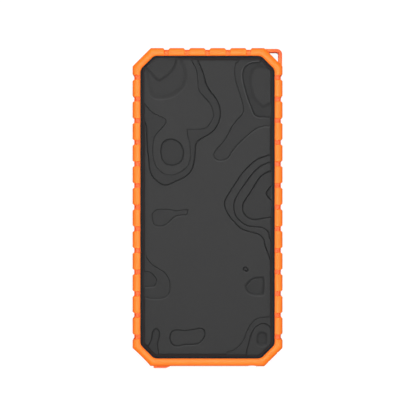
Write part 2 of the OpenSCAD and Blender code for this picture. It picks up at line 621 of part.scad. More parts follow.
module cell_tabs() color(silver) for (x = [-9, 9]) {
    box([x - 3, cell_y0 - 4.5, protection_z - 0.2], [x + 3, cell_y0, protection_z]);
    box([x - 3, cell_y0 - 4.5, protection_z + protection_t],
        [x + 3, cell_y0, protection_z + protection_t + 0.2]);
}

module thermistor() color([0.80, 0.60, 0.15])
    translate([-21.5, cell_y0 - 2, protection_z + protection_t + 0.3]) rotate([0, 90, 0]) {
        cylinder(d = 1.8, h = 3);
        cylinder(d = 0.6, h = 8);
    }

module battery_leads() for (side = [-1, 1])
    color(side > 0 ? [0.75, 0.08, 0.08] : [0.08, 0.08, 0.08])
        wire([[side * 3 + 1, cell_y0 - 5.5, protection_z + protection_t],
            [side * 3 + 1, cell_y0 - 5.5, protection_z + 2.6],
            [side * 3 + 1, -56.4, protection_z + 2.6],
            [side * 3 + 1, -56.4, board_top + 0.1]], 1.4);

// Flat ribbon from the button board along the side of the cells to the main board
module button_ribbon() color([0.85, 0.50, 0.12]) {
    face = button_board_x + button_board_t;
    route = [[face + 0.15, 40.3], [face + 0.15, 37], [face + 1.3, 35], [face + 1.3, -54],
        [face, -56.2], [26.56, -56.4]];
    translate([0, 0, 11]) linear_extrude(4) for (i = [0:len(route) - 2]) {
        run = route[i + 1] - route[i];
        translate(route[i]) rotate(atan2(run[1], run[0])) translate([0, -0.12])
            square([norm(run) + 0.05, 0.24]);
    }
}

bumper();
front_shell();
rear_cover();
cover_gasket();
cover_screws();
boss_inserts();
port_flap();
flap_seal();
flap_hinge_web();
flap_anchor();
power_button();
switch_plunger();
button_gasket();
switch_body();
button_board();
charge_leds();
light_guide();
main_board();
board_screws();
usb_a_shell_left();
usb_a_shell_right();
usb_a_tongue_left();
usb_a_tongue_right();
usb_c_shell();
usb_c_tongue();
usb_contacts();
inductors();
power_ics();
capacitors();
ribbon_socket();
cell_upper();
cell_lower();
cell_tape();
front_foam();
rear_foam();
cell_tabs();
protection_board();
thermistor();
battery_leads();
button_ribbon();
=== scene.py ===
"""Looks of the rugged power bank: its meshes, materials, light and camera.

Lengths are in millimetres until a mesh is made. The bank lies on its rear face, with X across it,
Y along it towards the lanyard loop, and Z up out of its front face.
"""
import json
import math

import bmesh
import bpy
import numpy as np
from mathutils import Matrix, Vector, geometry


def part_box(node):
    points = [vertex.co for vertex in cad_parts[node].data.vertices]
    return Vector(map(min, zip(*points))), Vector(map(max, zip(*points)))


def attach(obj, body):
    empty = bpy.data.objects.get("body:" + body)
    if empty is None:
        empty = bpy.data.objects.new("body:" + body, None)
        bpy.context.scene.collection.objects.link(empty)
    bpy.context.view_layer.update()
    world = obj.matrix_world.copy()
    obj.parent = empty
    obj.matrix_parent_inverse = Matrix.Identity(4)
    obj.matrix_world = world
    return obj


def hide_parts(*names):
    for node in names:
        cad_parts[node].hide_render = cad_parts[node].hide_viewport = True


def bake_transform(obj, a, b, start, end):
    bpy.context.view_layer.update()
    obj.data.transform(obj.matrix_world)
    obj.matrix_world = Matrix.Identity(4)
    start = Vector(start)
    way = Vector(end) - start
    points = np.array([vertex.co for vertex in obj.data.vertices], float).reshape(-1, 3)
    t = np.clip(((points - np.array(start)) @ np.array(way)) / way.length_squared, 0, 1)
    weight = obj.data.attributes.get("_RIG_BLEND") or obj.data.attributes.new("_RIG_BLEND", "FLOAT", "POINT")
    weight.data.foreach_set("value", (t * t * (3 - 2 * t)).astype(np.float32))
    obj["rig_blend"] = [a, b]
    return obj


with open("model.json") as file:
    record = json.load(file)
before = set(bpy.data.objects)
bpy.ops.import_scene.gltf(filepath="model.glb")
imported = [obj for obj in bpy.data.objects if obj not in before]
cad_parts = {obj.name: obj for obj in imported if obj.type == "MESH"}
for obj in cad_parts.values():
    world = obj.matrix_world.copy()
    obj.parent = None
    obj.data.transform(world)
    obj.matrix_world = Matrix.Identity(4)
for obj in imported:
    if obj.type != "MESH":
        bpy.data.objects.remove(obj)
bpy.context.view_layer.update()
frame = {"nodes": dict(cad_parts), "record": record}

MM = 0.001
NODES = frame["nodes"]


def corners(node):
    """Lowest and highest corner of a CAD node, in millimetres."""
    return [Vector(corner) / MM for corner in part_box(node)]


# ---------------------------------------------------------------- sizes
HALF_W, HALF_L, TOP = corners("bumper")[1]
MID_Z = TOP / 2
CORNER_LEG = 10.0
WALL = 3.0
LIP_W = 4.36                          # how far the lip comes in over the front and rear faces
LIP_T = 2.0
SIDE_TURN = 45.0                      # angle between neighbouring sides of the outline
HALF_TURN = math.tan(math.radians(SIDE_TURN / 2))

SIDE_PITCH, SIDE_COUNT = 11.8, 13
END_PITCH, END_COUNT = 11.2, 5
NOTCH_DEPTH = 0.95
NOTCH_FLOOR, NOTCH_MOUTH = 1.05, 1.97        # half widths
CHANNEL_FLOOR, CHANNEL_MOUTH = 1.08, 1.36    # half widths
CHANNEL_DEPTH = 1.0
CHANNEL_FALL = 2.2                    # how much lower a channel's floor is at its outer end
FALL_START, FALL_RUN = 2.0, 1.3       # inset where the floor starts to fall, and over what length
CHANNEL_END = 4.0                     # inset where a channel ends

SHELL_TOP = TOP - LIP_T
PLATEAU = TOP - 0.7                   # height of the front face
BEVEL_BASE, BEVEL_SLOPE = 5.3, 0.84   # inset of the bevel's foot, and its rise for each mm inwards
RELIEF_STEP = 0.25
GROOVE_W = 0.3                        # half the width of the groove at a step's foot

LOOP_HALF_T = 4.0                     # half the lanyard loop's depth
LOOP_EDGE = 0.55                      # rounding of its edges
LOOP_REACH, LOOP_ROOT = 11.5, 2.2     # where it leaves the ring, from the corner and from the side
WINDOW_L, WINDOW_H = 28.0, 11.0       # opening for the lamps and the button
WINDOW_CORNER, PORT_CORNER = 3.0, 0.5
WINDOW_PAST_BUTTON = 0.75             # from the button's end to the opening's end
PORT_GAP = 0.4                        # beside the flap's free end
CUT_DEPTH = WALL + 0.6

ANCHOR_LOW, ANCHOR_HIGH = corners("flap_anchor")
FLAP_LOW, FLAP_HIGH = corners("port_flap")
WEB_LOW, WEB_HIGH = corners("flap_hinge_web")
HINGE_X = (WEB_LOW.x + WEB_HIGH.x) / 2
GROOVE_HALF, GROOVE_DEPTH = 2.4, 0.32  # hollow in the port end over the flap's hinge
END_SET_BACK = 0.16                   # how far the port end is set back, up to the hinge's far side
THUMB_DEPTH, THUMB_RADIUS = 0.25, 100.0      # shallow hollow in the cut corner by the pull tab
CUT_GROOVE_PLACE = 3.4                # two grooves in the cut corner by the hinge, from its middle
CUT_GROOVE_DEPTH, CUT_GROOVE_SLOPE = 0.35, 0.84


# ---------------------------------------------------------------- mesh helpers
def smoothstep(t):
    """0 below 0 and 1 above 1, with a smooth rise between."""
    t = np.clip(t, 0, 1)
    return t * t * (3 - 2 * t)


def make_mesh(name, verts, faces):
    """Mesh from points in millimetres."""
    mesh = bpy.data.meshes.new(name)
    mesh.from_pydata([tuple(c * MM for c in v) for v in verts], [], faces)
    mesh.update()
    return mesh


def make_object(name, mesh):
    """Puts a mesh in the scene as a new object."""
    piece = bpy.data.objects.new(name, mesh)
    bpy.context.scene.collection.objects.link(piece)
    return piece


def finish_normals(mesh, angle=35):
    """Faces out, smooth shading, and sharp edges where the surface turns by more than the angle."""
    work = bmesh.new()
    work.from_mesh(mesh)
    bmesh.ops.recalc_face_normals(work, faces=work.faces)
    for face in work.faces:
        face.smooth = True
    work.to_mesh(mesh)
    work.free()
    mesh.set_sharp_from_angle(angle=math.radians(angle))


def bake_modifiers(piece):
    """Replaces the piece's mesh with the mesh that its modifiers make."""
    graph = bpy.context.evaluated_depsgraph_get()
    result = bpy.data.meshes.new_from_object(piece.evaluated_get(graph))
    piece.modifiers.clear()
    piece.data = result
    return piece


def combine(piece, other, operation):
    """Joins, cuts or keeps what piece shares with other, which is then removed."""
    boolean = piece.modifiers.new("combine", "BOOLEAN")
    boolean.operation = operation
    boolean.solver = "MANIFOLD"
    boolean.object = other
    bake_modifiers(piece)
    bpy.data.objects.remove(other)
    return piece


def loft(name, loops):
    """Closed mesh through loops of equally many points, with a face on the first and last."""
    count = len(loops[0])
    verts = [point for loop in loops for point in loop]
    faces = [[i * count + j, i * count + (j + 1) % count,
              (i + 1) * count + (j + 1) % count, (i + 1) * count + j]
             for i in range(len(loops) - 1) for j in range(count)]
    faces.append(list(range(count)))
    faces.append(list(range((len(loops) - 1) * count, len(loops) * count)))
    mesh = make_mesh(name, verts, faces)
    finish_normals(mesh)
    return make_object(name, mesh)


def rounded_rect(width, height, radius, steps=6):
    """Points round a rectangle with round corners, centred."""
    points = []
    for quarter in range(4):
        turn = math.radians(90 * quarter)
        sx = 1 if quarter in (0, 3) else -1
        sy = 1 if quarter in (0, 1) else -1
        for i in range(steps + 1):
            angle = turn + math.radians(90 * i / steps)
            points.append((sx * (width / 2 - radius) + radius * math.cos(angle),
                           sy * (height / 2 - radius) + radius * math.sin(angle)))
    return points


# ---------------------------------------------------------------- the outline and its insets
def outline_sides():
    """Each straight side, anticlockwise: its middle, outward angle and half length."""
    w, l, c = HALF_W, HALF_L, CORNER_LEG
    cut = c / math.sqrt(2)
    return [((w, 0), 0, l - c), ((w - c / 2, l - c / 2), 45, cut), ((0, l), 90, w - c),
            ((c / 2 - w, l - c / 2), 135, cut), ((-w, 0), 180, l - c),
            ((c / 2 - w, c / 2 - l), 225, cut), ((0, -l), 270, w - c),
            ((w - c / 2, c / 2 - l), 315, cut)]


SIDES = outline_sides()
RIGHT, CUT_NE, TOP_END, CUT_NW, LEFT, CUT_SW, PORT_END, CUT_SE = range(8)


def side_point(side, along, inset):
    """Point beside a straight side: along it, anticlockwise, and inset from it."""
    (mx, my), angle, _ = SIDES[side]
    a = math.radians(angle)
    return (mx - math.cos(a) * inset - math.sin(a) * along,
            my - math.sin(a) * inset + math.cos(a) * along)


def corner_point(side, share, inset, radius):
    """Point on the round corner after a side, from share 0 at its start to 1 at its end."""
    angle = SIDES[side][1]
    vx, vy = side_point(side, SIDES[side][2] - inset * HALF_TURN, inset)
    middle = math.radians(angle + SIDE_TURN / 2)
    back = radius / math.cos(math.radians(SIDE_TURN / 2))
    turn = math.radians(angle + SIDE_TURN * share)
    return (vx - back * math.cos(middle) + radius * math.cos(turn),
            vy - back * math.sin(middle) + radius * math.sin(turn))


def inset_of(points, blend=0.6):
    """How far inside the outline each point is, rounded a little across the corners."""
    gaps = []
    for (mx, my), angle, _ in SIDES:
        a = math.radians(angle)
        gaps.append((mx - points[:, 0]) * math.cos(a) + (my - points[:, 1]) * math.sin(a))
    result = gaps[0]
    for gap in gaps[1:]:
        overlap = np.maximum(blend - np.abs(result - gap), 0) / blend
        result = np.minimum(result, gap) - overlap ** 2 * blend / 4
    return result


# ---------------------------------------------------------------- bumper
CROWN_INSET = 2.3
OUTER_RADIUS, WINDOW_RADIUS = 1.0, 4.2     # round corners of the outline and of the windows
ROUND_START = TOP - 3.5


def lip_profile():
    """The bumper's section from mid height out over the front lip to its underside."""
    points = [(0, MID_Z), (0, MID_Z + 3.5), (0, MID_Z + 7)]
    for i in range(11):
        angle = math.radians(9 * i)
        points.append((CROWN_INSET * (1 - math.cos(angle)),
                       ROUND_START + (TOP - ROUND_START) * math.sin(angle)))
    points += [(2.8, TOP - 0.01), (3.15, TOP - 0.035), (3.45, TOP - 0.08), (3.7, TOP - 0.14),
               (3.85, TOP - 0.2), (3.98, TOP - 0.28), (4.08, TOP - 0.38), (4.17, TOP - 0.5),
               (4.24, TOP - 0.64), (4.3, TOP - 0.82), (4.34, TOP - 1.0), (LIP_W, TOP - 1.25),
               (LIP_W, TOP - LIP_T), (WALL, TOP - LIP_T)]
    return points


def notch_stations(places, limit):
    """Where along a side the mesh needs a line, for notches at these places."""
    detail = [0, 0.6, 0.95, CHANNEL_FLOOR, 1.15, 1.22, 1.29, CHANNEL_MOUTH, 1.5, 1.65, 1.8, 1.95,
              NOTCH_MOUTH, 2.2, 2.6]
    stations = {round(place + sign * d, 4) for place in places for d in detail for sign in (-1, 1)}
    for a, b in zip(places, places[1:]):
        stations |= {round(a + (b - a) * share, 4) for share in (0.3, 0.4, 0.5, 0.6, 0.7)}
    return sorted(s for s in stations if abs(s) <= limit)


def row_of(count, pitch):
    """Places of evenly spaced notches along a side, centred."""
    return [(i - (count - 1) / 2) * pitch for i in range(count)]


def hollow(side, along):
    """How far the outside is set back at this place, apart from the notches."""
    if side == CUT_SW:
        return max(0.0, THUMB_DEPTH - along ** 2 / (2 * THUMB_RADIUS))
    if side == CUT_SE:
        from_groove = abs(abs(along) - CUT_GROOVE_PLACE)
        return max(0.0, CUT_GROOVE_DEPTH - from_groove * CUT_GROOVE_SLOPE)
    if side == PORT_END:
        flat = END_SET_BACK * smoothstep((HINGE_X + GROOVE_HALF + 0.15 - along) / 0.3)
        reach = max(0.0, 1 - ((along - HINGE_X) / GROOVE_HALF) ** 2)
        return float(flat + GROOVE_DEPTH * reach)
    return 0.0


def bumper_stations():
    """Every line of the mesh across the bumper: (side, along, notch, channel, hollow).

    On a round corner, along is None and the third number is the share of the turn. On the stretch
    that leads to a corner, along is a pair: where the stretch starts, and the share of its length.
    """
    stations = []
    inner_cut = LIP_W * HALF_TURN + WINDOW_RADIUS * HALF_TURN
    for side, (_, _, half) in enumerate(SIDES):
        limit = half - inner_cut - 0.05
        places = {RIGHT: row_of(SIDE_COUNT, SIDE_PITCH), LEFT: row_of(SIDE_COUNT, SIDE_PITCH),
                  TOP_END: row_of(END_COUNT, END_PITCH)}.get(side, [])
        if places:
            lines = notch_stations(places, limit)
        elif side == PORT_END:
            beside = (-2.4, -2, -1.5, -1, -0.5, 0, 0.5, 1, 1.5, 2, 2.25, 2.35, 2.45, 2.55, 2.7)
            lines = sorted([HINGE_X + d for d in beside if HINGE_X + d <= limit]
                           + [limit * i / 12 for i in range(-12, 10)])
        elif side == CUT_SE:
            beside = (-0.6, -0.45, -0.3, -0.15, -0.05, 0, 0.05, 0.15, 0.3, 0.42)
            lines = sorted({sign * (CUT_GROOVE_PLACE + d) for sign in (-1, 1) for d in beside} | {0})
        else:
            lines = [limit * i / 8 for i in range(-8, 9)]
        first, last = lines[0], lines[-1]
        lead = (0.3, 0.6, 0.85)
        for share in reversed(lead):
            place = -half + (half + first) * (1 - share)
            stations.append((side, (first, share), 0, 0, hollow(side, place)))
        for s in lines:
            gap = min((abs(s - place) for place in places), default=99)
            ramp = min(max((NOTCH_MOUTH - gap) / (NOTCH_MOUTH - NOTCH_FLOOR), 0), 1)
            notch = 0.6 * ramp + 0.4 * float(smoothstep(ramp))
            channel = float(smoothstep((CHANNEL_MOUTH - gap) / (CHANNEL_MOUTH - CHANNEL_FLOOR)))
            stations.append((side, s, notch, channel, hollow(side, s)))
        for share in lead:
            stations.append((side, (last, share), 0, 0, hollow(side, last + (half - last) * share)))
        end_here, end_next = hollow(side, half), hollow((side + 1) % 8, -SIDES[(side + 1) % 8][2])
        for i in range(7):
            share = i / 6
            stations.append((side, None, share, 0, end_here + (end_next - end_here) * share))
    return stations


def place_station(station, inset):
    """Point in plan of a station at an inset, before its notch or hollow."""
    side, along, share, _, _ = station
    radius = OUTER_RADIUS + (WINDOW_RADIUS - OUTER_RADIUS) * min(inset / LIP_W, 1)
    if along is None:
        return corner_point(side, share, inset, radius)
    if isinstance(along, tuple):
        start, part = along
        straight = SIDES[side][2] - (inset + radius) * HALF_TURN
        end = math.copysign(straight, start if start else 1)
        return side_point(side, start + (end - start) * part, inset)
    return side_point(side, along, inset)


def bumper_mesh():
    """The bumper's ring: its section swept round the outline, with notches, channels and hollows."""
    front = lip_profile()
    rear = [(inset, TOP - z) for inset, z in reversed(front)]
    section = front + rear[:-1]
    blend = 0.2                       # rounding where the hollows meet the lip
    verts = []
    stations = bumper_stations()
    for station in stations:
        _, along, notch, channel, sunk = station
        if along is None:
            notch = 0
        for inset, z in section:
            outside = max(NOTCH_DEPTH * notch, sunk)
            soft = max(0.0, blend - abs(inset - outside)) ** 2 / (4 * blend) if outside > 0.05 else 0
            reach = channel * float(smoothstep((CHANNEL_END + 0.15 - inset) / 0.3))
            fall = CHANNEL_DEPTH + CHANNEL_FALL * float(smoothstep((FALL_START - inset) / FALL_RUN))
            floor = min(z, TOP - fall) if z > MID_Z else max(z, fall)
            x, y = place_station(station, max(inset, outside) + (soft if inset < WALL else 0))
            verts.append((x, y, z + (floor - z) * reach))
    count, rows = len(section), len(stations)
    faces = [[i * count + j, ((i + 1) % rows) * count + j,
              ((i + 1) % rows) * count + (j + 1) % count, i * count + (j + 1) % count]
             for i in range(rows) for j in range(count)]
    mesh = make_mesh("bumper_body", verts, faces)
    finish_normals(mesh)
    return make_object("bumper_body", mesh)


def window_cutter(name, size, radius, place, outward, depth):
    """Cutter for an opening with round corners and a softened mouth, from place inwards."""
    width, height = size
    flare = [(0.45, -1.5), (0.45, -0.02), (0.3, 0.06), (0.12, 0.2), (0.03, 0.35), (0, 0.55),
             (0, depth)]
    side = Vector((-outward.y, outward.x, 0))
    loops = []
    for grow, inward in flare:
        points = rounded_rect(width + 2 * grow, height + 2 * grow, radius + grow)
        loops.append([place - outward * inward + side * u + Vector((0, 0, v)) for u, v in points])
    return loft(name, loops)


def loop_hole():
    """Corners of the lanyard hole, in plan."""
    w, l = HALF_W, HALF_L
    return [(w - 8.2, l - 1.9), (w - 3.1, l - 1.9), (w - 2.35, l - 2.2), (w - 2.05, l - 2.95),
            (w - 2.05, l - 8.1)]


def lanyard_loop():
    """Loop that fills out the cut corner, with a three-sided hole for the lanyard."""
    w, l = HALF_W, HALF_L
    arc = [math.radians(angle) for angle in range(90, -1, -15)]
    gap = 0.02                        # keeps it just inside the CAD box
    radius = 3 - gap
    outer = [(w - LOOP_REACH, l - LOOP_ROOT), (w - LOOP_REACH, l - gap)]
    outer += [(w - 3 + radius * math.cos(a), l - 3 + radius * math.sin(a)) for a in arc]
    outer += [(w - gap, l - LOOP_REACH), (w - LOOP_ROOT, l - LOOP_REACH)]
    hole = loop_hole()
    low, high = MID_Z - LOOP_HALF_T, MID_Z + LOOP_HALF_T
    work = bmesh.new()
    rims = []
    for z in (low, high):
        rim = [[work.verts.new(Vector((x, y, z)) * MM) for x, y in ring] for ring in (outer, hole)]
        rims.append(rim[0] + rim[1])
        flat = geometry.tessellate_polygon([[Vector((x, y, 0)) for x, y in ring]
                                            for ring in (outer, hole)])
        for corner in flat:
            work.faces.new([rims[-1][i] for i in corner])
    for start, ring in ((0, outer), (len(outer), hole)):
        for i in range(len(ring)):
            a, b = start + i, start + (i + 1) % len(ring)
            work.faces.new([rims[0][a], rims[0][b], rims[1][b], rims[1][a]])
    bmesh.ops.recalc_face_normals(work, faces=work.faces)
    bmesh.ops.dissolve_limit(work, angle_limit=0.01, verts=work.verts, edges=work.edges)
    mesh = bpy.data.meshes.new("lanyard_loop")
    work.to_mesh(mesh)
    work.free()
    loop = make_object("lanyard_loop", mesh)
    soften = loop.modifiers.new("soften", "BEVEL")
    soften.width = LOOP_EDGE * MM
    soften.segments = 4
    soften.limit_method = "ANGLE"
    return bake_modifiers(loop)


def near_places(values, places):
    """Distance from each value to the nearest place."""
    return np.min(np.abs(values[:, None] - np.array(places)[None]), axis=1)


def paint_bumper(mesh):
    """Marks where shade is painted: the channels and the loop as sunk, and the walls of the loop's hole as
    shaded.
    """
    points = np.array([tuple(v.co) for v in mesh.vertices]) / MM
    x, y, z = points.T
    inset = inset_of(points[:, :2])
    mouth = CHANNEL_MOUTH - 0.02
    side_gap = np.where(HALF_W - np.abs(x) < CHANNEL_END + 0.1,
                        near_places(y, row_of(SIDE_COUNT, SIDE_PITCH)), mouth)
    end_gap = np.where(HALF_L - y < CHANNEL_END + 0.1,
                       near_places(x, row_of(END_COUNT, END_PITCH)), mouth)
    loop = smoothstep((-0.05 - inset) / 0.3)
    # Painted shade: deeper orange in the channels and on the loop.
    sunk = np.maximum.reduce([smoothstep((mouth - side_gap) / 0.2),
                              0.5 * smoothstep((mouth - end_gap) / 0.2), loop])
    from_hole = np.abs(signed_distance(points[:, :2], np.array(loop_hole())))
    wall = (from_hole < 0.1) & (np.abs(z - MID_Z) < LOOP_HALF_T - 0.5)
    shade = np.where(wall, 1, 0.3 * loop)
    for name, values in {"sunk": sunk, "shade": shade}.items():
        mesh.attributes.new(name, "FLOAT", "POINT").data.foreach_set("value", values.astype("f4"))


def make_bumper(material):
    """The rubber bumper, with openings for the port flap and for the button and lamps."""
    bumper = bumper_mesh()
    port_x0, port_x1 = FLAP_LOW.x - PORT_GAP, ANCHOR_HIGH.x
    port = window_cutter("port_cutter", (port_x1 - port_x0, ANCHOR_HIGH.z - ANCHOR_LOW.z),
                         PORT_CORNER, Vector(((port_x0 + port_x1) / 2, -HALF_L, MID_Z)),
                         Vector((0, -1, 0)), CUT_DEPTH)
    combine(bumper, port, "DIFFERENCE")
    window_y = corners("power_button")[1].y + WINDOW_PAST_BUTTON - WINDOW_L / 2
    button = window_cutter("button_cutter", (WINDOW_L, WINDOW_H), WINDOW_CORNER,
                           Vector((HALF_W, window_y, MID_Z)), Vector((1, 0, 0)), CUT_DEPTH)
    combine(bumper, button, "DIFFERENCE")
    combine(bumper, lanyard_loop(), "UNION")
    finish_normals(bumper.data, 38)
    paint_bumper(bumper.data)
    bumper.data.materials.clear()
    bumper.data.materials.append(material)
    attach(bumper, "case")
    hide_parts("bumper")


# ---------------------------------------------------------------- contour relief
NORTHWEST_1 = [(-17.2, 80.5), (-17.6, 78), (-18.6, 75.7), (-20.5, 73.3), (-23.5, 70.9),
    (-26.3, 69.3), (-28.6, 70.8), (-30.6, 73.2), (-33, 76), (-38, 84), (-20, 92)]
NORTHWEST_2 = [(-14.6, 80.5), (-12.9, 77), (-12, 73), (-12.1, 69.5), (-13.6, 66.4), (-16.4, 63.7),
    (-19.6, 61.5), (-24, 60.5), (-28, 60.6), (-30.3, 62.4), (-31.6, 66.5), (-32.6, 71.5),
    (-33.8, 75.5), (-40, 86), (-18, 93)]
NORTHWEST_3 = [(-8.8, 80.5), (-7, 77.2), (-5.7, 73.6), (-5.3, 69), (-4.8, 64.2), (-2.4, 60.8),
    (0.8, 57.4), (2.7, 53.8), (3.2, 50), (1.8, 46.3), (-0.8, 43.4), (-4, 42.6), (-8, 42.5),
    (-10.6, 42.4), (-11, 41.8), (-10.8, 39.2), (-9.8, 35.5), (-9.3, 30.5), (-9.6, 25.8),
    (-11.4, 21.9), (-14.8, 19.2), (-18.5, 17.8), (-22.5, 17.9), (-26, 19.8), (-28.7, 23.4),
    (-29.8, 28), (-29.9, 33), (-28.9, 38.4), (-26.2, 41.9), (-23.1, 45.5), (-23, 48),
    (-26.5, 49.9), (-30.4, 52), (-34.5, 56.7), (-42, 68), (-42, 90), (-12, 92)]
NORTHWEST_4 = [(-5.3, 80.8), (-3.5, 76.5), (-1.9, 72), (-0.6, 67.4), (1.6, 63.4), (4.6, 59.6),
    (6.5, 55.6), (7.2, 51.2), (6.3, 46.7), (4, 42.4), (0.3, 39.4), (-3.4, 37.2), (-6, 34.7),
    (-6.6, 30.5), (-7, 25.8), (-8.4, 20.7), (-11.4, 17), (-16, 14.6), (-20.6, 12.5), (-23.4, 11.9),
    (-26.6, 13.3), (-30, 16.5), (-31.7, 21), (-32.3, 27), (-33.1, 33.5), (-33.4, 41.5),
    (-34.6, 47), (-44, 62), (-44, 92), (-9, 95)]
WEST_RING = [(-20, 37.3), (-17.2, 36.6), (-14.4, 34.4), (-13.1, 31), (-13.3, 27.2), (-15, 24.3),
    (-19.3, 22.8), (-23.2, 23.9), (-25, 26.8), (-25.6, 31), (-24.8, 34.6), (-22.6, 36.7)]
NORTHEAST_1 = [(17.4, 80.6), (15.3, 78.3), (14.8, 75), (15.2, 70), (16.6, 64.8), (18.4, 59.2),
    (19.6, 54.4), (18.8, 50.7), (15.7, 47.3), (13.2, 43.9), (11.4, 40.3), (8.6, 35.8), (4.9, 31.7),
    (3.4, 28.6), (4.6, 26.2), (8, 25.6), (11, 27), (13.8, 31), (17.6, 35.3), (22.5, 39.9),
    (27, 43.1), (31.2, 44.4), (35, 44.7), (44, 50), (44, 90), (22, 92)]
NORTHEAST_2 = [(35, 49.6), (31, 49.3), (27.6, 49.4), (25.7, 50.6), (24.5, 53.2), (23.2, 56.5),
    (21.8, 60.3), (20.5, 64.8), (19.5, 69.4), (19.3, 73), (20.2, 76), (22.4, 77.9), (25, 78.8),
    (28.5, 79.2), (32, 80.5), (42, 82), (43, 56)]
NORTHEAST_ISLAND = [(27, 76.4), (24.5, 74.5), (23.5, 71), (23.8, 66), (24.8, 61.8), (26.6, 58.7),
    (29, 56.2), (30.6, 55.2), (32.4, 55.8), (35, 57.6), (41, 63), (41, 72), (34.5, 75.5),
    (30.5, 76.6)]
EAST_1 = [(35, 28.2), (31, 27.7), (26.8, 26), (22.8, 22.8), (18.6, 18.2), (14.6, 12.3),
    (11.2, 6.9), (9.3, 3.3), (9.4, 0), (11.4, -4.3), (15, -8.7), (18.6, -12), (23, -13.5),
    (27.6, -14.8), (30.4, -17.4), (31.4, -21.5), (33, -25.3), (35.5, -30), (44, -25), (44, 22)]
EAST_2 = [(35, 24.1), (31.8, 23.8), (27.9, 21.8), (24, 17.8), (20.4, 13), (16.9, 7.8), (14.7, 3.6),
    (14.3, -0.8), (15.5, -5), (18.3, -8.2), (22, -10.3), (26.6, -10.7), (30.6, -11.6), (33.2, -14),
    (34.4, -18), (41, -21), (43, 16)]
EAST_3 = [(35, 19.4), (31.6, 18.7), (28.6, 16.5), (26, 12.7), (23, 7.7), (20.2, 3.7), (19, 0.4),
    (19.5, -3), (22, -5.8), (26, -6.9), (30.5, -6.1), (35, -5.3), (42, -2), (42, 15)]
EAST_4 = [(35.2, 11.8), (33.3, 10), (32, 7.7), (32.6, 6), (35.2, 3.6), (40, 4), (40, 11)]
WHISTLE = [(-30.3, -4.6), (-29.2, -2.4), (-27, -1.3), (-22, -1.1), (-17, -2), (-13.4, -1.4),
    (-10.9, -1.2), (-10.7, -1.7), (-11.4, -3.9), (-12.2, -4.2), (-15.5, -4.5), (-18.6, -5.7),
    (-21.8, -8.7), (-24.4, -10.1), (-27.4, -10.2), (-29.5, -8.9)]
DOT = [(19.5, -33.2), (20.3, -32.6), (21.3, -32.8), (22, -33.8), (22, -35), (20.7, -35),
    (19.7, -34.4)]
SOUTH_D = [(20.9, -43.2), (22, -41.2), (24.4, -39.1), (27, -38.4), (29.8, -38.4), (30.6, -39.2),
    (30.8, -43), (30.6, -46.6), (29.8, -47.5), (26.5, -47.6), (23.4, -46.9), (21.4, -45.2)]
SOUTHWEST_1 = [(-35.5, -24.5), (-33, -27.8), (-30.5, -31.1), (-26.8, -33.5), (-23.2, -35.9),
    (-21.1, -39.3), (-20.5, -43), (-20.9, -46.5), (-23, -49), (-27.5, -49.9), (-31.6, -49.6),
    (-35.5, -48.4), (-44, -44), (-44, -28)]
SOUTHWEST_2 = [(-35.5, -35), (-31.6, -35.4), (-29.6, -36.9), (-28, -38.9), (-28, -41),
    (-29.2, -43), (-32, -43.3), (-35.5, -43.3), (-42, -41), (-42, -36)]
FINGER = [(-33, -77.4), (-31.6, -74.3), (-30.6, -71.2), (-30, -67.8), (-28.1, -66.1),
    (-26.3, -67.8), (-26.2, -70.6), (-27.1, -74.6), (-27.1, -81.5), (-33, -86)]
PILL = [(-20.6, -70.5), (-19.6, -67.9), (-17.2, -66.9), (-12.5, -67.2), (-8, -66.7), (-3.8, -66),
    (-1.8, -67.2), (-1.4, -69.7), (-2.6, -72.3), (-5.2, -74.5), (-9, -75), (-12.6, -75.1),
    (-16.6, -75.9), (-19.3, -74.8), (-20.5, -72.6)]
SOUTHEAST_1 = [(35, -60.3), (30.6, -60), (26.6, -61.1), (23.5, -63.9), (21.7, -67.2),
    (20.1, -71.4), (18, -74.8), (14.5, -77.9), (10, -80.5), (12, -92), (44, -92), (44, -66)]
SOUTHEAST_2 = [(35.5, -67), (33.5, -64.5), (30.5, -63.4), (27.4, -64.4), (25, -66.8),
    (23.6, -69.8), (22.5, -73.8), (20.9, -80.8), (22, -90), (42, -90), (42, -74)]
SOUTHEAST_3 = [(27.4, -70), (28.4, -68.7), (30, -68.4), (31.4, -68.7), (32.1, -70), (32.1, -73.4),
    (31.4, -75), (29.6, -75.3), (28, -74.8), (27.2, -73.2)]
